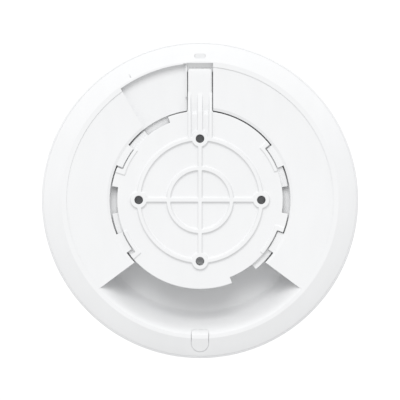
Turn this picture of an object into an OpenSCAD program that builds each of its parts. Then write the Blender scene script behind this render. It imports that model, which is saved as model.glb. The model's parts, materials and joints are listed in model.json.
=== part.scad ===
// Ceiling access point on its quarter-turn bracket, hanging below the ceiling face (z = 0).
// +Z points to the ceiling, +Y to the lock arm, -Y to the cable exit.

/* [Overall] */
// Outside diameter of the access point
ap_d = 160; // [158:0.5:170]
// Distance from the ceiling to the front of the dome
ap_h = 33; // [32:0.5:40]
// Wall of the rear housing
wall = 1.8; // [1.6:0.1:2.2]

/* [Bracket] */
// Diameter of the mounting bracket
bracket_d = 89.8; // [89.4:0.1:90.2]
// Circle that the four screw holes lie on
screw_pcd = 61.8; // [60:0.1:63]
// Diameter of each screw hole
screw_d = 4.3; // [3.8:0.1:5]
// Thickness of the bracket plate
plate_t = 2; // [1.6:0.1:2.2]
// Height of the ribs that bear on the ceiling
rib_h = 1.2; // [0.9:0.1:1.4]
// Width of those ribs
rib_w = 1.8; // [1.4:0.1:2.2]

/* [Lock arm] */
// Width of the lock arm
arm_w = 12.2; // [11:0.1:12.4]
// Distance from the centre to the tip of the arm
arm_reach = 66.3; // [62:0.1:67]

/* [Cable bay] */
// Depth of the bay floor below the ceiling face
bay_depth = 21.5; // [19:0.5:21.5]
// Radius of the bay's outer edge
bay_r = 68.2; // [66:0.2:68.8]
// Width of the cable exit tab
tab_w = 8.5; // [7:0.1:11]

/* [Front] */
// Mean radius of the light ring
light_r = 21.8; // [16:0.2:26]
// Width of the light ring
light_w = 1.8; // [1.2:0.1:2.6]

/* [Hidden] */
$fn = 96;
ap_r = ap_d / 2;
br = bracket_d / 2;
ir = 41.8;                       // bracket plate inside the lug band
plate_z = -rib_h;                // top of the bracket plate
plate_b = plate_z - plate_t;
lug_b = -5;                      // underside of lugs and shelves
shelf_z = -3.3;                  // top of the low shelves
well_r = 45.6;                   // opening in the rear housing
base_z = -1.4;                   // top of the housing's flat
well_z = -6.2;                   // floor of the well
well_b = -7.4;
ring_r0 = 67.4;                  // flat ring round the back
ring_r1 = 69.9;
rim_r = ap_r - 1.3;              // outer end of the sloped rim
skirt_r = ap_r - 1.1;
edge_z = -8;                     // widest point of the shell
cuts = [0, 120, 180, -60];
shelves = [[8.8, 38.4], [128.8, 158.4], [188.8, 218.7], [-51.3, -21.4]];
stops = [[38.4, 41.2], [158.4, 161.8], [218.7, 221.8], [-21.4, -18.3]];
beads = [20.7, 141.7, 202.4, -40.5];
tabs = [[22.5, 37.4], [142.4, 157.3], [202.4, 215.7], [-35.8, -22]];
hinge_y = 44.5;
hinge_z = -2.9;
arm_r = 0.9;
chan_hw = arm_w / 2 + 0.5;
chan_end = arm_reach + 2.8;
chan_z = -6.5;
wedge_z = -4.4;
bay_z = -bay_depth;
bay_r0 = bay_r - 12;             // where the bay floor turns up
ring_z = -1;                     // top of the flat ring
cove_n = 20;
mark_y = 72.6;                   // place and size of the release mark
mark_w = 3.4;
mark_h = 2.5;
rib_r = 15.9;                    // inner ring rib of the bracket
boss_od = 8.2;                   // screw bosses of the bracket
arm_rib = 5.3;                   // outer ribs of the lock arm
sink_r = 36.3;                   // screws of the heat sink plate
sink_a = [25:65:155];
shell_n = 24;
hook_r = 74.9;                   // snap hooks of the front cover
bay_in = 32.4;                   // inner wall of the bay
bay_x = 31.6;                    // upper corners of the bay
bay_y = 30.4;
tab_y0 = 65.5;                   // ends of the cable exit tab
tab_y1 = 76.5;
board_z = -22;                   // rear face of the board
board_t = 1.6;
board_r = 58;
boss_a = [-22, 50, 145, 202];
boss_r = 53;
jack_y0 = -32.6;
jack_l = 21;
jack_h = 13.5;
reset_x = 15;
reset_z = -16.5;

function dome(r) = edge_z - (ap_h + edge_z) * pow(1 - pow(r / ap_r, 2.5), 0.4);
function shell(R, z0, d, n) =
    [for (i = [0:n]) let (t = 90 * i / n) [R * pow(sin(t), 0.8), z0 - d * pow(cos(t), 0.8)]];
function cove_u(t) = 1 - pow(1 - t * t * (3 - 2 * t), 1.25);
// Outer slope of the bay, from its floor up to the ring, no higher than cap
function cove(dr, dz, cap) = [for (i = [0:cove_n])
    let (t = i / cove_n, u = cove_u(0.9 * t) / cove_u(0.9))
    [bay_r0 + (bay_r - bay_r0) * t + dr, min(cap, bay_z + (ring_z + 0.1 - bay_z) * u) + dz]];
rim = [[ring_r1, ring_z], [rim_r - 0.4, -4.3]];

module ring(r0, r1, z0, z1) {
    translate([0, 0, z0]) linear_extrude(z1 - z0) difference() {
        circle(r1);
        circle(r0);
    }
}

module disc(r, z0, z1) {
    translate([0, 0, z0]) cylinder(h = z1 - z0, r = r);
}

module sector(r, a0, a1) {
    m = (a0 + a1) / 2;
    polygon([[0, 0], [2 * r * cos(a0), 2 * r * sin(a0)], [2 * r * cos(m), 2 * r * sin(m)],
        [2 * r * cos(a1), 2 * r * sin(a1)]]);
}

module arc_block(r0, r1, a0, a1, z0, z1) {
    translate([0, 0, z0]) linear_extrude(z1 - z0) intersection() {
        difference() {
            circle(r1);
            circle(r0);
        }
        sector(r1, a0, a1);
    }
}

module box(x0, x1, y0, y1, z0, z1) {
    translate([x0, y0, z0]) cube([x1 - x0, y1 - y0, z1 - z0]);
}

module rbox(w, d, h, r) {
    linear_extrude(h) {
        square([w - 2 * r, d], center = true);
        square([w, d - 2 * r], center = true);
        for (x = [-1, 1], y = [-1, 1]) translate([x * (w / 2 - r), y * (d / 2 - r)]) circle(r);
    }
}

// A profile in Y and Z, extruded along X about x = 0
module side(w, pts) {
    rotate([90, 0, 90]) translate([0, 0, -w / 2]) linear_extrude(w) polygon(pts);
}

module along_y(r, y0, y1) {
    translate([0, y0, 0]) rotate([-90, 0, 0]) cylinder(h = y1 - y0, r = r);
}

// Plan of the swing room for the lock arm, d beyond the arm's axis at the end of its turn
module wedge(d, r, x) {
    intersection() {
        circle(r);
        polygon([[x, 30], [x, 90], [-50 - 0.866 * d, 86.6 - 0.5 * d],
            [-15 - 0.866 * d, 26 - 0.5 * d]]);
    }
}

// Plan of the cable bay, grown by g
module bay_plan(g) {
    right = [[28 - 0.26 * g, g - bay_in], [bay_x + 0.08 * g, 1.19 * g - bay_y],
        [bay_x + 48.2 + g, g - bay_y - 35.8]];
    polygon(concat(right, [[0, -130]], [for (i = [2:-1:0]) [-right[i][0], right[i][1]]]));
}

// Plan of the cable exit tab, grown by g
module tab_plan(g) {
    translate([0, tab_w / 2 - tab_y1]) circle(tab_w / 2 + g);
    translate([-tab_w / 2 - g, tab_w / 2 - tab_y1])
        square([tab_w + 2 * g, tab_y1 - tab_y0 - 1 - tab_w / 2]);
    translate([1 - tab_w / 2, -tab_y0 - 2]) square([tab_w - 2, 2 + g]);
    for (s = [-1, 1]) translate([s * (tab_w / 2 - 1), -tab_y0 - 1]) circle(1 + g);
}

module mount_bracket() {
    color("white") difference() {
        union() {
            disc(ir, plate_b, plate_z);
            ring(ir - 2, ir, lug_b, plate_b);
            difference() {
                ring(ir - 0.1, br, lug_b, plate_z);
                for (a = cuts) arc_block(ir, br + 1, a - 8.85, a + 8.85, -6, 0);
                for (s = shelves) arc_block(ir, br + 1, s[0], s[1], shelf_z, 0);
                box(-arm_w / 2 - 0.3, arm_w / 2 + 0.3, 43, 46, -6, 1);
            }
            for (i = [0:3]) {
                arc_block(ir - 1.7, ir, beads[i], stops[i][0] + 1, plate_z - 0.5, plate_z + 0.6);
                arc_block(ir - 1.8, br, stops[i][0], stops[i][1], plate_z - 0.6, plate_z + 0.6);
            }
            ring(screw_pcd / 2 - rib_w / 2, screw_pcd / 2 + rib_w / 2, plate_z, 0);
            ring(rib_r - rib_w / 2, rib_r + rib_w / 2, plate_z, 0);
            box(-30, 30, -rib_w / 2, rib_w / 2, plate_z, 0);
            box(-rib_w / 2, rib_w / 2, -30, 30, plate_z, 0);
            for (a = [0:90:270]) rotate(a) translate([screw_pcd / 2, 0, plate_b - 0.8])
                cylinder(h = rib_h + plate_t + 0.8, r = boss_od / 2);
            side(arm_w, [[41, -3.8], [41, plate_z], [43.2, plate_z], [44.2, -1.8], [44.2, -3.8]]);
            box(-1.2, 1.2, 33, 44.25, plate_z - 0.8, 0);
            for (s = [-1, 1]) translate([s * arm_rib, 0, 0]) box(-0.8, 0.8, 30, 44.25, plate_z - 0.8, 0);
        }
        for (a = [0:90:270]) rotate(a) translate([screw_pcd / 2, 0, -6])
            cylinder(h = 7, r = screw_d / 2);
        translate([0, hinge_y, hinge_z]) rotate([0, 90, 0])
            cylinder(h = arm_w + 2, r = arm_r + 0.06, center = true);
    }
}

module lock_arm() {
    color("white") {
        difference() {
            union() {
                translate([0, hinge_y, hinge_z]) rotate([0, 90, 0])
                    cylinder(h = arm_w, r = arm_r, center = true);
                translate([0, hinge_y, hinge_z - arm_r]) linear_extrude(2 * arm_r) difference() {
                    translate([-arm_w / 2, 0]) square([arm_w, arm_reach - hinge_y]);
                    for (s = [-1, 1]) translate([s * arm_w / 2, arm_reach - hinge_y])
                        rotate(45) square(1.6, center = true);
                }
                side(2.4, [[44.75, -2.4], [44.75, -0.1], [54, -2.05], [54, -2.4]]);
                for (s = [-1, 1]) translate([s * arm_rib, 0, 0])
                    side(1.6, [[44.75, -2.4], [44.75, -0.1], [54, -2.05], [54, -2.4]]);
            }
            side(arm_w + 2, [[arm_reach - 1.6, -1.9], [arm_reach + 1, -1.9],
                [arm_reach + 1, -2.9]]);
        }
    }
}

module rear_housing() {
    color("white") difference() {
        union() {
            rotate_extrude() polygon([[well_r, base_z - wall], [well_r, -1.9], [47, base_z],
                [ring_r0, base_z], [ring_r0, ring_z], [ring_r1, ring_z], [rim_r - 0.4, -4.3],
                [skirt_r, -4.65], [skirt_r, edge_z], [skirt_r - 1.6, edge_z], [skirt_r - 1.6, -5.9],
                [ring_r1 - 0.4, ring_z - wall - 0.2], [66, base_z - wall]]);
            ring(well_r, well_r + 1.6, well_b, base_z - 1);
            difference() {
                disc(well_r + 0.5, well_b, well_z);
                translate([0, 0, -9]) linear_extrude(4) intersection() {
                    circle(33.6);
                    translate([-40, -27]) square([80, 70]);
                }
            }
            for (t = tabs) arc_block(42.4, well_r + 0.5, t[0], t[1], -3, -1.9);
            // channel and swing room of the lock arm
            difference() {
                union() {
                    box(-8.2, 8.2, 44, 70.7, -8, base_z - 1);
                    translate([0, 0, -6]) linear_extrude(4) wedge(8.2, 70.6, -6.7);
                }
                translate([0, 0, -9]) cylinder(h = 9, r = well_r);
            }
            // cable bay
            difference() {
                intersection() {
                    translate([0, 0, -24]) linear_extrude(24) bay_plan(1.6);
                    rotate_extrude() polygon(concat([[0, ring_z - 1.4], [0, bay_z - 1.6]],
                        cove(1.6, -1.6, 0), [[bay_r + 1.6, ring_z - 1.4]]));
                }
                translate([0, 0, well_z]) cylinder(h = 8, r = well_r);
            }
            // saddle under the cable exit tab
            intersection() {
                translate([0, 0, -24]) linear_extrude(24) tab_plan(1.4);
                rotate_extrude() polygon(concat(cove(0, 0, ring_z), rim, [[77.8, -8.2],
                    [76.5, -8.2], [74, -12], [70, -17], [66, -22], [60, -23.1],
                    [bay_r0, -23.1]]));
            }
            for (a = boss_a) rotate(a) translate([boss_r, 0, board_z])
                cylinder(h = base_z - 1 - board_z, r = 3);
        }
        // bay, open under the bracket
        intersection() {
            translate([0, 0, -24]) linear_extrude(30) bay_plan(0);
            rotate_extrude() polygon(concat([[0, 2], [0, bay_z]], cove(0, 0, 0), [[bay_r, 2]]));
        }
        difference() {
            side(2 * chan_hw, [[43, 1], [43, chan_z], [arm_reach - 1.5, chan_z],
                [arm_reach - 1.5, -4.15], [arm_reach + 0.4, -4.15], [chan_end, -2.6],
                [chan_end, 1]]);
            translate([0, 0, -10]) cylinder(h = 12, r = 44);
        }
        difference() {
            translate([0, 0, wedge_z]) linear_extrude(6) wedge(6.6, 69, -7.3);
            translate([0, 0, -10]) cylinder(h = 12, r = 44);
        }
        box(-8.4, -6, 52, 68.9, -3, 1);
        box(-8.4, -6, 43, 52, wedge_z, 1);
        // shallow release mark in the rim
        intersection() {
            translate([0, mark_y, -6]) linear_extrude(7) {
                square([mark_w, mark_h], center = true);
                for (s = [-1, 1]) translate([s * mark_w / 2, 0]) circle(mark_h / 2);
            }
            side(2 * mark_w, [[70, -3.2], [76, -2.24], [76, 1], [70, 1]]);
        }
        // pocket and seam of the cable exit tab
        intersection() {
            translate([0, 0, -24]) linear_extrude(26) tab_plan(0.3);
            rotate_extrude() polygon(concat(cove(1.5, -3, 0),
                [[70.4, -4.4], [76.9, -7.1], [79, -7.1], [79, 1], [bay_r0, 1]]));
        }
        // jack and reset openings through the bay's inner wall
        box(-8.2, 8.2, -33, -30, board_z - 0.2, board_z + jack_h + 0.2);
        translate([reset_x, 0, reset_z]) along_y(1.15, -34, -30);
        for (a = boss_a) rotate(a) translate([boss_r, 0, board_z - 1]) cylinder(h = 11, r = 1.3);
        for (a = sink_a) rotate(a) translate([sink_r, 0, -8]) cylinder(h = 1.4, r = 1.1);
        rotate(119.5) translate([70.85, -0.3, -2.2]) cube([2.5, 0.6, 3]);
    }
}

module front_cover() {
    color("white") {
        difference() {
            rotate_extrude() polygon(concat(shell(ap_r, edge_z, ap_h + edge_z, shell_n),
                [[ap_r - 0.04, -6.6], [ap_r - 0.15, -5.7], [ap_r - 0.4, -5.1], [ap_r - 0.8, -4.8],
                    [ap_r - 0.8, -8.4], [ap_r - 2.2, -8.4]],
                [for (i = [shell_n:-1:0]) let (t = 90 * i / shell_n)
                    [(ap_r - 2.2) * pow(sin(t), 0.8),
                        -8.4 - (ap_h - 10.4) * pow(cos(t), 0.8)]]));
            ring(light_r - light_w / 2 - 0.1, light_r + light_w / 2 + 0.1, -40,
                dome(light_r) + 0.85);
            for (a = [0:30:330]) rotate(a) translate([light_r, 0, -34]) cylinder(h = 6, r = 0.6);
        }
        // snap hooks inside the skirt of the rear housing
        for (a = [0:60:300]) rotate(a) {
            translate([hook_r, -5, -14.5]) cube([1.5, 10, 7.9]);
            translate([hook_r + 1.3, -5, -7.6]) cube([0.7, 10, 1]);
            translate([hook_r, -5, -14.5]) cube([3, 10, 1.6]);
        }
        // stiffening ribs behind the face
        intersection() {
            for (a = [0:60:300]) rotate(a) box(light_r + 4, 56, -0.6, 0.6, -32, -26.4);
            rotate_extrude() polygon(concat(shell(ap_r - 1.6, edge_z, ap_h + edge_z - 1.4, shell_n),
                [[0, edge_z]]));
        }
    }
}

module light_ring() {
    color([0.95, 0.97, 1]) {
        intersection() {
            ring(light_r - light_w / 2, light_r + light_w / 2, -40, dome(light_r) + 0.8);
            rotate_extrude() polygon(concat(shell(ap_r, edge_z, ap_h + edge_z, shell_n), [[0, edge_z]]));
        }
        for (a = [0:30:330]) rotate(a) translate([light_r, 0, dome(light_r) + 0.7])
            cylinder(h = 1.7, r = 0.5);
    }
}

module light_guide() {
    color([0.9, 0.95, 1]) {
        ring(light_r - 2, light_r + 2, -29.9, -28.6);
        for (a = [22.5:45:360]) rotate(a) translate([light_r, 0, -28.7])
            cylinder(h = 3.9, r = 1.4);
    }
}

module leds() {
    color([1, 1, 0.85]) for (a = [22.5:45:360]) rotate(a)
        translate([light_r - 0.8, -0.8, board_z - board_t - 0.7]) cube([1.6, 1.6, 0.7]);
}

module cable_exit_tab() {
    color("white") intersection() {
        translate([0, 0, -24]) linear_extrude(26) tab_plan(0);
        rotate_extrude() polygon(concat(cove(0, 0, ring_z), rim, [[rim_r - 0.4, -6.5],
            [76.9, -6.7], [70.2, -4]], [for (i = [cove_n:-1:0]) cove(1.2, -2.6, 0)[i]]));
    }
}

module heat_sink_plate() {
    color([0.6, 0.6, 0.62]) {
        difference() {
            translate([0, 0, well_b - 0.8]) linear_extrude(0.8) difference() {
                intersection() {
                    circle(39);
                    translate([-40, -28.5]) square([80, 70]);
                }
                translate([-9.5, -30]) square([19, 19.5]);
            }
            for (a = sink_a) rotate(a) translate([sink_r, 0, -9]) cylinder(h = 3, r = 1.3);
            box(-9.2, 9.2, -3.2, 15.2, -10, -6);
        }
        difference() {
            box(-10, 10, -4, 16, board_z + 3, well_b);
            box(-9.2, 9.2, -3.2, 15.2, board_z + 3.8, well_b + 1);
        }
    }
}

module heat_sink_screws() {
    color([0.75, 0.75, 0.78]) for (a = sink_a) rotate(a) translate([sink_r, 0, 0]) {
        translate([0, 0, well_b - 2.1]) cylinder(h = 1.3, r = 2.2);
        translate([0, 0, well_b - 1]) cylinder(h = 1.7, r = 1);
    }
}

module rating_label() {
    color([0.92, 0.92, 0.9]) translate([0, 21, well_b]) rbox(26, 9, 0.15, 1.5);
}

module main_board() {
    color([0.08, 0.3, 0.2]) translate([0, 0, board_z - board_t]) linear_extrude(board_t)
        difference() {
            circle(board_r);
            bay_plan(2.4);
            for (a = boss_a) rotate(a) translate([boss_r, 0]) circle(1.5);
            for (a = [0, 180]) rotate(a) translate([48, 0]) circle(1.6);
        }
}

module board_screws() {
    color([0.75, 0.75, 0.78]) for (a = boss_a) rotate(a) translate([boss_r, 0, 0])
        difference() {
            union() {
                translate([0, 0, board_z - board_t - 1.5]) cylinder(h = 1.5, r = 2.5);
                translate([0, 0, board_z - board_t - 0.2]) cylinder(h = 9.5, r = 1.1);
            }
            translate([0, 0, board_z - board_t - 2]) {
                translate([-1.4, -0.3, 0]) cube([2.8, 0.6, 1.2]);
                translate([-0.3, -1.4, 0]) cube([0.6, 2.8, 1.2]);
            }
        }
}

module rj45_shell() {
    color([0.75, 0.76, 0.78]) difference() {
        box(-8, 8, jack_y0, jack_y0 + jack_l, board_z + 0.02, board_z + jack_h);
        box(-7.6, 7.6, jack_y0 + 0.4, jack_y0 + jack_l - 0.4, board_z - 1, board_z + jack_h - 0.4);
        box(-6.05, 6.05, jack_y0 - 1, jack_y0 + 1, board_z + 1.3, board_z + 9.7);
        box(-3.3, 3.3, jack_y0 - 1, jack_y0 + 1, board_z + 9, board_z + 11.5);
    }
}

module rj45_insert() {
    color([0.1, 0.1, 0.11]) difference() {
        box(-7.5, 7.5, jack_y0 + 0.45, jack_y0 + jack_l - 0.5, board_z + 0.02,
            board_z + jack_h - 0.5);
        box(-5.95, 5.95, jack_y0 - 1, jack_y0 + 13.5, board_z + 1.4, board_z + 9.6);
        box(-3.2, 3.2, jack_y0 - 1, jack_y0 + 8, board_z + 9, board_z + 11.4);
    }
}

module rj45_contacts() {
    color([0.85, 0.7, 0.3]) for (i = [0:7]) translate([(i - 3.5) * 1.02, 0, 0])
        side(0.4, [[jack_y0 + 2, board_z + 1.42], [jack_y0 + 13.4, board_z + 1.42],
            [jack_y0 + 13.4, board_z + 2.7], [jack_y0 + 13, board_z + 2.7],
            [jack_y0 + 3, board_z + 1.8], [jack_y0 + 2, board_z + 1.8]]);
}

module magnetics() {
    color([0.12, 0.12, 0.13]) {
        translate([-19, -20, board_z + 0.4]) rbox(14, 12, 5.2, 0.6);
        for (i = [-4:4], s = [-1, 1]) translate([-19 + i * 1.4, -20 + s * 6.4, board_z + 0.02])
            translate([-0.3, -0.8, 0]) cube([0.6, 1.6, 0.5]);
    }
}

module can(x, y, w, d) {
    translate([x, y, board_z + 0.02]) difference() {
        rbox(w, d, 2.5, 1);
        translate([0, 0, -0.3]) rbox(w - 0.5, d - 0.5, 2.5, 0.8);
        for (i = [-1, 1], j = [-1, 1]) translate([i * w / 4, j * d / 4, 1])
            cylinder(h = 3, r = 0.5);
    }
}

module shield_cpu() {
    color([0.78, 0.79, 0.8]) can(0, 6, 26, 26);
}

module shield_radio_low() {
    color([0.78, 0.79, 0.8]) can(-27, 8, 20, 22);
}

module shield_radio_high() {
    color([0.78, 0.79, 0.8]) can(27, 8, 20, 22);
}

module thermal_pad() {
    color([0.45, 0.6, 0.75]) translate([0, 6, board_z + 2.55]) rbox(18, 18, 0.43, 0.5);
}

module capacitors() {
    color([0.2, 0.2, 0.22]) for (p = [[27, -13], [35, -13], [31, -20.5]]) translate([p[0], p[1],
        board_z + 0.02]) {
        cylinder(h = 1, r = 3.6);
        translate([0, 0, 0.9]) cylinder(h = 6.6, r = 3.15);
    }
}

module inductors() {
    color([0.25, 0.25, 0.25]) for (p = [[-32, -12], [-41, -10], [14, 33]])
        translate([p[0], p[1], board_z + 0.02]) rbox(7, 7, 3.8, 1.5);
}

module crystal() {
    color([0.8, 0.8, 0.82]) translate([-14, 33, board_z + 0.02]) {
        rbox(11, 4.6, 0.6, 2.2);
        translate([0, 0, 0.5]) rbox(10, 3.8, 3, 1.85);
    }
}

module reset_switch() {
    color([0.15, 0.15, 0.16]) {
        box(reset_x - 3, reset_x + 3, -28.2, -24.4, board_z + 0.02, reset_z + 3);
        translate([reset_x, 0, reset_z]) along_y(1, -28.9, -28.1);
    }
}

module reset_button() {
    color([0.2, 0.2, 0.22]) translate([reset_x, 0, reset_z]) {
        along_y(1.1, -33.2, -29.9);
        along_y(1.9, -30.4, -29.6);
    }
}

// Stamped sheet antenna on two legs, for the board's edge at angle a
module antenna(a, l, h) {
    rotate(a) translate([49, 0, board_z + 0.02]) {
        translate([-3, -l / 2, h - 0.4]) cube([7, l, 0.4]);
        translate([3.6, -l / 2, 0]) cube([0.4, 3, h]);
        translate([3.6, l / 2 - 6, 0]) cube([0.4, 2, h]);
        translate([-3, -l / 2, h - 3]) cube([0.4, l * 0.6, 3]);
    }
}

module antennas_low() {
    color([0.8, 0.78, 0.7]) for (a = [14, 166]) antenna(a, 22, 9);
}

module antennas_high() {
    color([0.8, 0.78, 0.7]) for (a = [78, 102]) antenna(a, 13, 6);
}

module chips() {
    color([0.1, 0.1, 0.1]) for (p = [[0, 6, 14, 14], [-27, 8, 9, 9], [27, 8, 9, 9],
        [0, -18, 11, 8], [-34, -18, 6, 5], [34, -18, 6, 5], [0, 36, 12, 8]])
        translate([p[0], p[1], board_z - board_t - 1.22]) rbox(p[2], p[3], 1.2, 0.3);
}

mount_bracket();
lock_arm();
rear_housing();
front_cover();
light_ring();
light_guide();
leds();
cable_exit_tab();
heat_sink_plate();
heat_sink_screws();
rating_label();
main_board();
board_screws();
rj45_shell();
rj45_insert();
rj45_contacts();
magnetics();
shield_cpu();
shield_radio_low();
shield_radio_high();
thermal_pad();
capacitors();
inductors();
crystal();
reset_switch();
reset_button();
antennas_low();
antennas_high();
chips();
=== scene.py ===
import json
import math

import bmesh
import bpy
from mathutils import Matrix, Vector
from mathutils.bvhtree import BVHTree


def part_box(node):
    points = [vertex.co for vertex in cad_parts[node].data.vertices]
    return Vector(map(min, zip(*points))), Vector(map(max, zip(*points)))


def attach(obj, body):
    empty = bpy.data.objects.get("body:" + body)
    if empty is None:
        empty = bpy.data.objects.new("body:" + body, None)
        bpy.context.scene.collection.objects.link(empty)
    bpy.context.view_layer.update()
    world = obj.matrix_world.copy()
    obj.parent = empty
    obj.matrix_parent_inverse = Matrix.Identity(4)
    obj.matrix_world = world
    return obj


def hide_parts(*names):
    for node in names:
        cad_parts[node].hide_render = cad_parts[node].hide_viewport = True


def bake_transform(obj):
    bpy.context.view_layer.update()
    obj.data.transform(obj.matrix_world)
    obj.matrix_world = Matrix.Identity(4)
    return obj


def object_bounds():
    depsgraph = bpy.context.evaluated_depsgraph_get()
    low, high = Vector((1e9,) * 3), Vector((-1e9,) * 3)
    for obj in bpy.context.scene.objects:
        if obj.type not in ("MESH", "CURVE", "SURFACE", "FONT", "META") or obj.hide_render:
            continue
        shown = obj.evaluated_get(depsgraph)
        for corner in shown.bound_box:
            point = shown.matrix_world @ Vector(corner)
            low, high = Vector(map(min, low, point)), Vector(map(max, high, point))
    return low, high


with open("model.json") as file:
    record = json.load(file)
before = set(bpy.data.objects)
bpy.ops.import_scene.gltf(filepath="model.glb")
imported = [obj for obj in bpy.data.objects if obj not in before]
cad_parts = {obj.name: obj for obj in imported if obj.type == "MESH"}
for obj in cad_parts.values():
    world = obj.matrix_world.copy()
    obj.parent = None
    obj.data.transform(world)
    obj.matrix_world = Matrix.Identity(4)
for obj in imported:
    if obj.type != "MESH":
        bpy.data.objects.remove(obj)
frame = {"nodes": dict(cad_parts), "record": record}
cad_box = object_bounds()
MM = 0.001
WELD_MM = 0.002


# ---------------------------------------------------------------- stage

LENS_MM = 300
SENSOR_MM = 36
FILL = 0.79  # share of the picture's width that the part takes
RIM_LEVEL = 0.25  # how far down the part its widest outline lies


def make_camera():
    """A long lens straight above the back, with the lock arm at the top of the picture."""
    low, high = cad_box
    data = bpy.data.cameras.new("camera")
    data.lens = LENS_MM
    data.sensor_width = SENSOR_MM
    data.clip_start = 0.1
    data.clip_end = 50
    half_view = 0.5 * (high.x - low.x) / FILL
    distance = half_view / math.tan(math.atan(SENSOR_MM / 2 / LENS_MM))
    camera = bpy.data.objects.new("camera", data)
    camera.location = (0, 0, distance + low.z * RIM_LEVEL)
    bpy.context.scene.collection.objects.link(camera)
    bpy.context.scene.camera = camera


def sun(name, azimuth, elevation, spread, strength):
    """A soft light, in degrees: azimuth from +X towards +Y, elevation, and spread, its angular size."""
    data = bpy.data.lights.new(name, "SUN")
    data.angle = math.radians(spread)
    data.energy = strength
    light = bpy.data.objects.new(name, data)
    a, e = math.radians(azimuth), math.radians(elevation)
    towards = Vector((math.cos(a) * math.cos(e), math.sin(a) * math.cos(e), math.sin(e)))
    light.rotation_euler = towards.to_track_quat("Z", "Y").to_euler()
    bpy.context.scene.collection.objects.link(light)


def make_world(strength):
    """Even white light from every side."""
    world = bpy.data.worlds.new("studio")
    world.use_nodes = True
    wall = world.node_tree.nodes["Background"]
    wall.inputs["Color"].default_value = (1, 1, 1, 1)
    wall.inputs["Strength"].default_value = strength
    bpy.context.scene.world = world


def make_floor(half, drop, tone):
    """Plain matt floor, drop metres below the origin."""
    mesh = bpy.data.meshes.new("floor")
    corners = [(-half, -half), (half, -half), (half, half), (-half, half)]
    mesh.from_pydata([(x, y, -drop) for x, y in corners], [], [(0, 1, 2, 3)])
    floor = bpy.data.objects.new("floor", mesh)
    bpy.context.scene.collection.objects.link(floor)
    material = bpy.data.materials.new("floor")
    material.use_nodes = True
    shader = material.node_tree.nodes["Principled BSDF"]
    shader.inputs["Base Color"].default_value = (tone, tone, tone, 1)
    shader.inputs["Roughness"].default_value = 0.9
    mesh.materials.append(material)


def make_stage():
    bpy.context.scene.view_settings.view_transform = "Standard"
    make_world(strength=0.835)
    sun("key", azimuth=97, elevation=51, spread=38, strength=1.72)
    make_floor(half=6, drop=0.45, tone=0.84)


make_camera()
make_stage()


# ---------------------------------------------------------------- materials

NOISE_LOW = 0.3
NOISE_HIGH = 0.7
WHITE = (0.722, 0.7265, 0.733)
ALONG_X = (0.12, 4.0, 1.0)
ALONG_Y = (4.0, 0.12, 1.0)
ALONG_Z = (1.0, 1.0, 0.1)
NO_DIRECTION = (1.0, 1.0, 1.0)


class Nodes:
    """A material's node tree, with short ways to add what every finish here is made of."""

    def __init__(self, name):
        self.material = bpy.data.materials.new(name)
        self.material.use_nodes = True
        self.tree = self.material.node_tree
        self.shader = self.tree.nodes["Principled BSDF"]
        self.place = self.add("ShaderNodeTexCoord").outputs["Object"]
        self.normal = None

    def add(self, kind, **values):
        node = self.tree.nodes.new(kind)
        for key, value in values.items():
            setattr(node, key, value)
        return node

    def link(self, out, into):
        self.tree.links.new(out, into)

    def set(self, **values):
        """Sets shader inputs, with _ for each space in their names."""
        for key, value in values.items():
            self.shader.inputs[key.replace("_", " ")].default_value = value

    def stretched(self, x, y, z):
        """The place, scaled along each axis."""
        mapping = self.add("ShaderNodeMapping")
        mapping.inputs["Scale"].default_value = (x, y, z)
        self.link(self.place, mapping.inputs["Vector"])
        return mapping.outputs[0]

    def noise(self, size_mm, detail=2.0, rough=0.5, place=None):
        """Noise whose largest features are size_mm across."""
        node = self.add("ShaderNodeTexNoise")
        node.inputs["Scale"].default_value = 1000.0 / size_mm
        node.inputs["Detail"].default_value = detail
        node.inputs["Roughness"].default_value = rough
        self.link(place or self.place, node.inputs["Vector"])
        return node.outputs["Fac"]

    def cells(self, size_mm, feature="F1"):
        """Distances within cells that are about size_mm apart."""
        node = self.add("ShaderNodeTexVoronoi", feature=feature)
        node.inputs["Scale"].default_value = 1000.0 / size_mm
        self.link(self.place, node.inputs["Vector"])
        return node.outputs["Distance"]

    def ramp(self, value, stops):
        """Maps value through (position, colour) stops."""
        node = self.add("ShaderNodeValToRGB")
        ramp = node.color_ramp
        while len(ramp.elements) < len(stops):
            ramp.elements.new(0.5)
        for element, (position, colour) in zip(ramp.elements, stops):
            element.position = position
            element.color = (*colour, 1)
        self.link(value, node.inputs["Fac"])
        return node.outputs["Color"]

    def levels(self, value, low, high):
        """Stretches the usual range of a noise to run from low to high."""
        node = self.add("ShaderNodeMapRange")
        node.inputs["From Min"].default_value = NOISE_LOW
        node.inputs["From Max"].default_value = NOISE_HIGH
        node.inputs["To Min"].default_value = low
        node.inputs["To Max"].default_value = high
        self.link(value, node.inputs["Value"])
        return node.outputs["Result"]

    def mix(self, factor, first, second, blend="MIX"):
        """Blends two colours, each a socket or a tuple."""
        node = self.add("ShaderNodeMix", data_type="RGBA", blend_type=blend)
        if isinstance(factor, float):
            node.inputs["Factor"].default_value = factor
        else:
            self.link(factor, node.inputs["Factor"])
        for socket, colour in ((node.inputs[6], first), (node.inputs[7], second)):
            if isinstance(colour, tuple):
                socket.default_value = (*colour, 1)
            else:
                self.link(colour, socket)
        return node.outputs[2]

    def bump(self, height, depth_um):
        """Adds relief whose full height is depth_um micrometres."""
        node = self.add("ShaderNodeBump")
        node.inputs["Distance"].default_value = depth_um * 1e-6
        node.inputs["Strength"].default_value = 1.0
        self.link(height, node.inputs["Height"])
        if self.normal:
            self.link(self.normal, node.inputs["Normal"])
        self.normal = node.outputs["Normal"]
        self.link(self.normal, self.shader.inputs["Normal"])

    def colour(self, out):
        self.link(out, self.shader.inputs["Base Color"])

    def roughness(self, out):
        self.link(out, self.shader.inputs["Roughness"])


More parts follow.
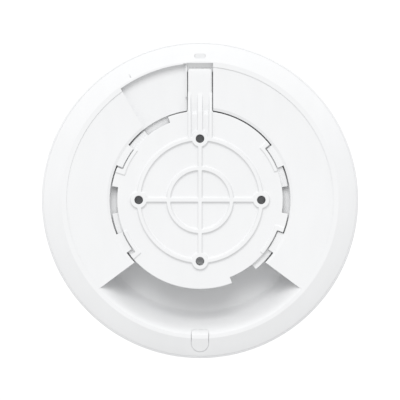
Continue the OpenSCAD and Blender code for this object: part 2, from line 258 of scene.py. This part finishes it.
def shade(colour, factor):
    """A lighter or darker version of a colour."""
    return tuple(min(1.0, c * factor) for c in colour)


def moulded(name, colour, rough, grain_mm=0.35, cloud=0.012, specular=0.2):
    """Injection-moulded plastic: spark-eroded grain, faint flow clouding and uneven sheen."""
    n = Nodes(name)
    cloudy = n.noise(34.0, detail=3.0)
    streaks = n.noise(5.0, detail=2.0, place=n.stretched(1.0, 0.25, 1.0))
    tone = n.mix(0.35, cloudy, streaks)
    n.colour(n.ramp(tone, [(0.35, shade(colour, 1 - cloud)), (0.65, shade(colour, 1 + cloud))]))
    grain = n.noise(grain_mm, detail=3.0, rough=0.6)
    n.roughness(n.levels(n.noise(9.0), rough - 0.05, rough + 0.05))
    n.bump(grain, depth_um=4.0)
    n.bump(n.noise(14.0, detail=1.0), depth_um=6.0)
    n.set(Specular_IOR_Level=specular)
    return n.material


def sheet_metal(name, colour, rough, direction, tarnish=0.12):
    """Rolled or plated metal: fine lines along one direction, blotched sheen, a few scratches."""
    n = Nodes(name)
    lines = n.noise(0.5, detail=4.0, rough=0.7, place=n.stretched(*direction))
    blotch = n.noise(6.0, detail=4.0, rough=0.6)
    tones = [(NOISE_LOW, shade(colour, 1 - tarnish)), (NOISE_HIGH, shade(colour, 1 + tarnish * 0.5))]
    base = n.ramp(blotch, tones)
    n.colour(n.mix(0.35, base, n.ramp(lines, tones)))
    n.roughness(n.levels(n.mix(0.5, blotch, lines), rough - 0.08, rough + 0.1))
    n.bump(lines, depth_um=3.0)
    n.bump(n.cells(2.6, "DISTANCE_TO_EDGE"), depth_um=1.5)
    n.set(Metallic=1.0)
    return n.material


def diffuser(name, colour):
    """Milky light-guide plastic."""
    n = Nodes(name)
    milk = n.noise(3.0, detail=3.0)
    n.colour(n.ramp(milk, [(NOISE_LOW, shade(colour, 0.96)), (NOISE_HIGH, colour)]))
    n.roughness(n.levels(n.noise(1.2), 0.3, 0.42))
    n.bump(n.noise(0.6), depth_um=3.0)
    n.set(Subsurface_Weight=0.35, Subsurface_Radius=(0.002, 0.002, 0.0022), Subsurface_Scale=1.0)
    n.set(Specular_IOR_Level=0.45)
    return n.material


def lamp_chip(name):
    """White chip package with a yellow phosphor face."""
    n = Nodes(name)
    phosphor = n.noise(0.3, detail=3.0)
    n.colour(n.ramp(phosphor, [(0.35, (0.85, 0.72, 0.2)), (0.6, (0.95, 0.9, 0.62))]))
    n.roughness(n.levels(n.noise(0.5), 0.2, 0.35))
    n.bump(phosphor, depth_um=8.0)
    n.set(Coat_Weight=0.6, Coat_Roughness=0.1)
    return n.material


def circuit_board(name, mask):
    """Solder mask over copper tracks, with via dots and a tighter weave beneath."""
    n = Nodes(name)
    tracks = n.add("ShaderNodeTexBrick", offset=0.37, squash=1.6, squash_frequency=3)
    tracks.inputs["Scale"].default_value = 170.0
    tracks.inputs["Mortar Size"].default_value = 0.045
    tracks.inputs["Mortar Smooth"].default_value = 0.2
    n.link(n.place, tracks.inputs["Vector"])
    line = tracks.outputs["Fac"]
    vias = n.ramp(n.cells(3.1), [(0.10, (1, 1, 1)), (0.13, (0, 0, 0))])
    board = n.mix(line, mask, shade(mask, 1.9))
    threads = n.noise(0.7, place=n.stretched(1.0, 4.0, 1.0))
    weave = n.ramp(threads, [(NOISE_LOW, (0.8, 0.8, 0.8)), (NOISE_HIGH, (1, 1, 1))])
    board = n.mix(0.5, board, weave, "MULTIPLY")
    n.colour(n.mix(vias, board, (0.72, 0.6, 0.34)))
    n.roughness(n.levels(n.noise(4.0), 0.28, 0.4))
    n.bump(line, depth_um=25.0)
    n.bump(vias, depth_um=20.0)
    n.set(Coat_Weight=0.3, Coat_Roughness=0.15)
    return n.material


def film_label(name, colour):
    """Blank matt film with a faint fibre and slightly yellowed patches."""
    n = Nodes(name)
    fibre = n.noise(0.4, detail=4.0, rough=0.7, place=n.stretched(1.0, 3.0, 1.0))
    aged = n.mix(0.5, n.noise(8.0, detail=3.0), fibre)
    n.colour(n.ramp(aged, [(NOISE_LOW, shade(colour, 0.93)), (NOISE_HIGH, colour)]))
    n.roughness(n.levels(fibre, 0.55, 0.7))
    n.bump(fibre, depth_um=5.0)
    return n.material


def soft_pad(name, colour):
    """Filled silicone: speckled, soft and slightly tacky."""
    n = Nodes(name)
    speck = n.noise(0.25, detail=4.0, rough=0.7)
    n.colour(n.ramp(speck, [(0.35, shade(colour, 0.75)), (0.65, shade(colour, 1.15))]))
    n.roughness(n.levels(n.noise(3.0), 0.6, 0.8))
    n.bump(speck, depth_um=20.0)
    n.bump(n.noise(5.0), depth_um=60.0)
    n.set(Sheen_Weight=0.15, Sheen_Roughness=0.5)
    return n.material


def sintered(name, colour):
    """Ferrite: pressed powder with pits and a worn, paler bloom."""
    n = Nodes(name)
    powder = n.noise(0.2, detail=5.0, rough=0.75)
    bloom = n.noise(2.5, detail=4.0)
    tone = n.mix(0.5, powder, bloom)
    n.colour(n.ramp(tone, [(0.35, shade(colour, 0.6)), (0.7, shade(colour, 1.7))]))
    n.roughness(n.levels(bloom, 0.6, 0.85))
    n.bump(powder, depth_um=25.0)
    n.bump(n.cells(0.9), depth_um=15.0)
    return n.material


def make_materials():
    return {
        "housing_plastic": moulded("housing_plastic", WHITE, 0.66),
        "bracket_plastic": moulded("bracket_plastic", shade(WHITE, 0.998), 0.68, grain_mm=0.3),
        "diffuser": diffuser("diffuser", (0.85, 0.87, 0.89)),
        "led": lamp_chip("led"),
        # The heat plate's dark grey, darker than bare aluminium, is painted shade: it makes the screw
        # holes above it read dark.
        "sheet_aluminium": sheet_metal("sheet_aluminium", (0.36, 0.365, 0.375), 0.5, ALONG_X),
        "screw_steel": sheet_metal("screw_steel", (0.62, 0.62, 0.63), 0.3, NO_DIRECTION),
        "label": film_label("label", (0.78, 0.78, 0.75)),
        "circuit_board": circuit_board("circuit_board", (0.012, 0.075, 0.045)),
        "shield_tin": sheet_metal("shield_tin", (0.7, 0.7, 0.69), 0.32, ALONG_Y),
        "black_plastic": moulded("black_plastic", (0.03, 0.03, 0.032), 0.45, cloud=0.1, specular=0.5),
        "contact_gold": sheet_metal("contact_gold", (0.9, 0.68, 0.3), 0.22, ALONG_Y, tarnish=0.08),
        "pad": soft_pad("pad", (0.2, 0.3, 0.42)),
        "can_aluminium": sheet_metal("can_aluminium", (0.62, 0.62, 0.64), 0.35, ALONG_Z),
        "ferrite": sintered("ferrite", (0.05, 0.05, 0.052)),
        "button_plastic": moulded("button_plastic", (0.05, 0.05, 0.053), 0.4, cloud=0.1, specular=0.5),
        "antenna_brass": sheet_metal("antenna_brass", (0.75, 0.68, 0.5), 0.3, ALONG_X),
        "chip_plastic": moulded("chip_plastic", (0.035, 0.035, 0.036), 0.6, grain_mm=0.15, cloud=0.15),
    }


# ---------------------------------------------------------------- mesh helpers

def bridge(bm, first, second):
    """Quads between two closed rows of vertices."""
    for k in range(len(first)):
        n = (k + 1) % len(first)
        bm.faces.new((first[k], second[k], second[n], first[n]))


def lathe(bm, profile, segments, centre=(0.0, 0.0)):
    """Turns a closed profile of (radius, z) in mm about a vertical axis."""
    columns = []
    for i in range(segments):
        angle = 2 * math.pi * i / segments
        c, s = math.cos(angle), math.sin(angle)
        columns.append([bm.verts.new(((centre[0] + r * c) * MM, (centre[1] + r * s) * MM, z * MM))
                        for r, z in profile])
    for first, second in zip(columns, columns[1:] + columns[:1]):
        bridge(bm, first, second)


def loft(bm, sections):
    """Joins closed sections of equal length, each a list of (x, y, z) in mm, and caps the ends."""
    rows = [[bm.verts.new((x * MM, y * MM, z * MM)) for x, y, z in section] for section in sections]
    for first, second in zip(rows, rows[1:]):
        bridge(bm, first, second)
    bm.faces.new(list(reversed(rows[0])))
    bm.faces.new(rows[-1])


FLARE_STEPS = 6
RIB_SINK = 0.4  # how far ribs reach into what they stand on
LEAST_FOOT = 0.02
ARC_STEP = 2.0  # degrees


def rib_section(half, foot, base, top):
    """Upright rib as (offset, z): flared feet of radius foot on base, flat top."""
    right = []
    for i in range(FLARE_STEPS + 1):
        t = math.pi / 2 * i / FLARE_STEPS
        right.append((half + foot * (1 - math.sin(t)), base + foot * (1 - math.cos(t))))
    right.append((half, top))
    left = [(-u, z) for u, z in reversed(right)]
    return [(half + foot, base - RIB_SINK)] + right + left + [(-half - foot, base - RIB_SINK)]


def straight_rib(bm, start, end, half, foot, base, top):
    """Rib between two (x, y) points; top is one height or the heights at its two ends."""
    tops = top if isinstance(top, tuple) else (top, top)
    along = Vector((end[0] - start[0], end[1] - start[1])).normalized()
    sections = []
    for (x, y), z_top in zip((start, end), tops):
        reach = max(LEAST_FOOT, min(foot, z_top - base))
        section = rib_section(half, reach, base, z_top)
        sections.append([(x + u * along.y, y - u * along.x, z) for u, z in section])
    loft(bm, sections)


def arc_rib(bm, radius, start, end, half, foot, base, top):
    """Rib along an arc from start to end degrees."""
    count = int((end - start) / ARC_STEP)
    sections = []
    for i in range(count + 1):
        angle = math.radians(start + (end - start) * i / count)
        c, s = math.cos(angle), math.sin(angle)
        sections.append([((radius + u) * c, (radius + u) * s, z)
                         for u, z in rib_section(half, foot, base, top)])
    loft(bm, sections)


def new_object(name, bm, body, slot, materials):
    """Smooth-shaded piece from bm, riding body unless that is None."""
    bmesh.ops.recalc_face_normals(bm, faces=bm.faces)
    mesh = bpy.data.meshes.new(name)
    bm.to_mesh(mesh)
    bm.free()
    piece = bpy.data.objects.new(name, mesh)
    bpy.context.scene.collection.objects.link(piece)
    mesh.materials.append(materials[slot])
    for polygon in mesh.polygons:
        polygon.use_smooth = True
    if body:
        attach(piece, body)
    return piece


def apply_modifiers(piece):
    """Makes a piece's modifiers part of its mesh."""
    graph = bpy.context.evaluated_depsgraph_get()
    mesh = bpy.data.meshes.new_from_object(piece.evaluated_get(graph))
    piece.modifiers.clear()
    piece.data = mesh


def skin(piece, voxel_mm, rounds, keep):
    """Merges overlapping solids into one soft-edged skin and thins out its flat parts."""
    remesh = piece.modifiers.new("skin", "REMESH")
    remesh.mode = "VOXEL"
    remesh.voxel_size = voxel_mm * MM
    remesh.use_smooth_shade = True
    smooth = piece.modifiers.new("smooth", "SMOOTH")
    smooth.factor = 0.5
    smooth.iterations = rounds
    thin = piece.modifiers.new("thin", "DECIMATE")
    thin.ratio = keep
    apply_modifiers(piece)


# ---------------------------------------------------------------- bracket moulding

PLATE_Z = -1.2
ARM_Z = -2.0
ARM_UNDER = -3.8
RIB_HALF = 0.9
RIB_TOP = -0.01
ARM_RIB_TOP = -0.05
FOOT = 1.0
BOSS_R = 4.1
BOSS_SEGMENTS = 72
BOSS_SPAN = 6.6  # degrees of the screw circle from a boss's centre to the ring rib's end
SCREW_CIRCLE = 30.9
INNER_RING = 15.9
RIB_START, ARM_ROOT, RIB_END = 34.5, 44.9, 54.2  # the arm's ribs, along Y


def bracket_ribs(bm):
    """Flared feet along the ribs and round the screw bosses."""
    shape = (RIB_HALF, FOOT, PLATE_Z, RIB_TOP)
    for start in (0, 90, 180, 270):
        end = start + 90
        arc_rib(bm, SCREW_CIRCLE, start + BOSS_SPAN, end - BOSS_SPAN, *shape)
        arc_rib(bm, INNER_RING, start, end, *shape)
    reach = SCREW_CIRCLE - BOSS_R + 0.5
    straight_rib(bm, (-reach, 0), (reach, 0), *shape)
    straight_rib(bm, (0, -reach), (0, reach), *shape)
    flare = [(r + BOSS_R, z) for r, z in rib_section(0.0, FOOT, PLATE_Z, RIB_TOP) if r >= 0]
    inside = BOSS_R - 0.8
    collar = [(inside, PLATE_Z - RIB_SINK)] + flare + [(inside, RIB_TOP)]
    for x, y in ((1, 0), (0, 1), (-1, 0), (0, -1)):
        lathe(bm, collar, BOSS_SEGMENTS, (x * SCREW_CIRCLE, y * SCREW_CIRCLE))


def arm_section(y, top, under, half):
    """Slab section with rounded upper edges."""
    return [(half, y, under), (half, y, top - 0.8), (half - 0.12, y, top - 0.4),
            (half - 0.4, y, top - 0.12), (half - 0.8, y, top), (0.8 - half, y, top),
            (0.4 - half, y, top - 0.12), (0.12 - half, y, top - 0.4), (-half, y, top - 0.8),
            (-half, y, under)]


def arm_blade(bm, half, tip):
    """The flexing arm, from under the plate to its rounded nose, as (y, top, underside, half width)."""
    stations = [(40.5, PLATE_Z - 0.3, -4.4, half), (42.0, PLATE_Z - 0.02, -4.4, half),
                (43.4, -1.4, -4.3, half), (ARM_ROOT, ARM_Z, ARM_UNDER, half),
                (tip - 3.5, ARM_Z, ARM_UNDER, half), (tip - 1.8, ARM_Z - 0.1, ARM_UNDER, half),
                (tip - 0.8, ARM_Z - 0.25, ARM_UNDER, half - 0.05),
                (tip - 0.25, ARM_Z - 0.5, ARM_UNDER, half - 0.4),
                (tip, ARM_Z - 0.9, ARM_UNDER, half - 0.8)]
    loft(bm, [arm_section(*station) for station in stations])


def arm_ribs(bm, half):
    """Three ribs that run off the bracket and taper into the arm."""
    side = half - 0.75
    overlap = 0.5
    slope = (ARM_RIB_TOP, ARM_Z + 0.02)
    for x, rib in ((0.0, 1.15), (-side, 0.72), (side, 0.72)):
        straight_rib(bm, (x, RIB_START), (x, ARM_ROOT), rib, 0.45, PLATE_Z - 0.1, ARM_RIB_TOP)
        straight_rib(bm, (x, ARM_ROOT - overlap), (x, RIB_END), rib, 0.3, ARM_Z - 0.1, slope)


def bracket_moulding(materials):
    """Bracket and lock arm are one moulding, which bends at the arm's root."""
    _, high_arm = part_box("lock_arm")
    half, tip = high_arm.x / MM, high_arm.y / MM
    bm = bmesh.new()
    bm.from_mesh(frame["nodes"]["mount_bracket"].data)
    bmesh.ops.remove_doubles(bm, verts=bm.verts, dist=WELD_MM * MM)
    bracket_ribs(bm)
    arm_blade(bm, half, tip)
    arm_ribs(bm, half)
    piece = new_object("bracket_moulding", bm, None, "bracket_plastic", materials)
    skin(piece, voxel_mm=0.22, rounds=3, keep=0.3)
    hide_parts("mount_bracket", "lock_arm")
    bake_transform(piece)


# ---------------------------------------------------------------- seams

SEAM_DEPTH = 0.3
END_DEPTH = 0.02  # at the tab's inner end, where it hardly shows
SEAM_MIDDLE = 0.15  # from the tab's edge to the middle of the seam
LEDGE_IN, LEDGE_OUT = 0.17, 0.2  # how far the ledge reaches from the seam's middle
LEDGE_THICK = 0.8
TAB_CORNER = 1.0
U_STEPS = 28
CORNER_STEPS = 7
SEAL_SEGMENTS = 264


def top_of(tree, x, y):
    """Height in mm of a shape's upper face at x, y."""
    place = tree.ray_cast(Vector((x * MM, y * MM, 0.01)), Vector((0, 0, -1)))[0]
    return place.z / MM


def tab_outline(half, near, far, grow):
    """Seam line of the exit tab: (x, y) and outward direction, round its U and its inner end."""
    points = []
    for i in range(U_STEPS + 1):
        t = math.pi + math.pi * i / U_STEPS
        points.append((math.cos(t), math.sin(t), 0.0, far + half, half))
    for cx, start in ((half - TAB_CORNER, 0.0), (TAB_CORNER - half, math.pi / 2)):
        for i in range(CORNER_STEPS + 1):
            t = start + math.pi / 2 * i / CORNER_STEPS
            points.append((math.cos(t), math.sin(t), cx, near - TAB_CORNER, TAB_CORNER))
    return [(cx + c * (r + grow), cy + s * (r + grow), c, s) for c, s, cx, cy, r in points]


def tab_ledge(materials):
    """Step inside the housing that the exit tab's edge sits over, so its seam reads as a fine line."""
    low_tab, high_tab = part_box("cable_exit_tab")
    nodes = frame["nodes"]
    graph = bpy.context.evaluated_depsgraph_get()
    tab = BVHTree.FromObject(nodes["cable_exit_tab"], graph)
    shell = BVHTree.FromObject(nodes["rear_housing"], graph)
    outline = tab_outline(high_tab.x / MM, high_tab.y / MM, low_tab.y / MM, SEAM_MIDDLE)
    bm = bmesh.new()
    rows = []
    for x, y, c, s in outline:
        inside = top_of(tab, x - 0.35 * c, y - 0.35 * s)
        outside = top_of(shell, x + 0.3 * c, y + 0.3 * s)
        sink = END_DEPTH if s > 0.5 else SEAM_DEPTH
        floor = min(inside, outside) - LEDGE_THICK
        corners = ((-LEDGE_IN, inside - sink), (LEDGE_OUT, outside - sink),
                   (LEDGE_OUT, floor), (-LEDGE_IN, floor))
        rows.append([bm.verts.new(((x + d * c) * MM, (y + d * s) * MM, z * MM)) for d, z in corners])
    for first, second in zip(rows, rows[1:] + rows[:1]):
        bridge(bm, first, second)
    new_object("tab_ledge", bm, "access_point", "housing_plastic", materials)


def cover_seal(materials):
    """Soft lip in the seam of the rear housing and the front cover, just below their edges."""
    profile = [(78.82, -5.4), (79.28, -5.4), (79.28, -5.08), (79.18, -4.96), (79.05, -4.9),
               (78.92, -4.92), (78.82, -5.02)]
    bm = bmesh.new()
    lathe(bm, profile, SEAL_SEGMENTS)
    new_object("cover_seal", bm, "access_point", "housing_plastic", materials)


# ---------------------------------------------------------------- CAD nodes

SAME_PLANE = 0.15  # degrees
FOLD_CRISP = 15
FOLD_BEVEL = 35


def cleaned(node):
    """Joins a CAD node's triangles into plain faces."""
    weld = node.modifiers.new("weld", "WELD")
    weld.merge_threshold = WELD_MM * MM
    flat = node.modifiers.new("flat", "DECIMATE")
    flat.decimate_type = "DISSOLVE"
    flat.angle_limit = math.radians(SAME_PLANE)


def crisp(node):
    """Shades a node smooth, except across its folds."""
    split = node.modifiers.new("crisp", "EDGE_SPLIT")
    split.split_angle = math.radians(FOLD_CRISP)


def bevelled(node, width_mm, clamp):
    """Rounds a node's edges."""
    bevel = node.modifiers.new("bevel", "BEVEL")
    bevel.width = width_mm * MM
    bevel.segments = 2
    bevel.limit_method = "ANGLE"
    bevel.angle_limit = math.radians(FOLD_BEVEL)
    bevel.harden_normals = True
    bevel.use_clamp_overlap = clamp
    bevel.miter_outer = "MITER_ARC"


MOULDED_AS_ONE = ("mount_bracket", "lock_arm")
CRISP = ("rear_housing", "cable_exit_tab")
SLOT_OF = {part["node"]: part["material_slot"] for part in frame["record"]["subparts"]}


def finish_cad_nodes(materials):
    """Gives each CAD node its material and its edges."""
    for name, node in frame["nodes"].items():
        node.data.materials.clear()
        node.data.materials.append(materials[SLOT_OF[name]])
        if name in MOULDED_AS_ONE:
            continue
        cleaned(node)
        if name in CRISP:
            crisp(node)
        elif name == "front_cover":
            bevelled(node, width_mm=0.15, clamp=False)
        else:
            bevelled(node, width_mm=0.1, clamp=True)


materials = make_materials()
tab_ledge(materials)
cover_seal(materials)
finish_cad_nodes(materials)
bracket_moulding(materials)
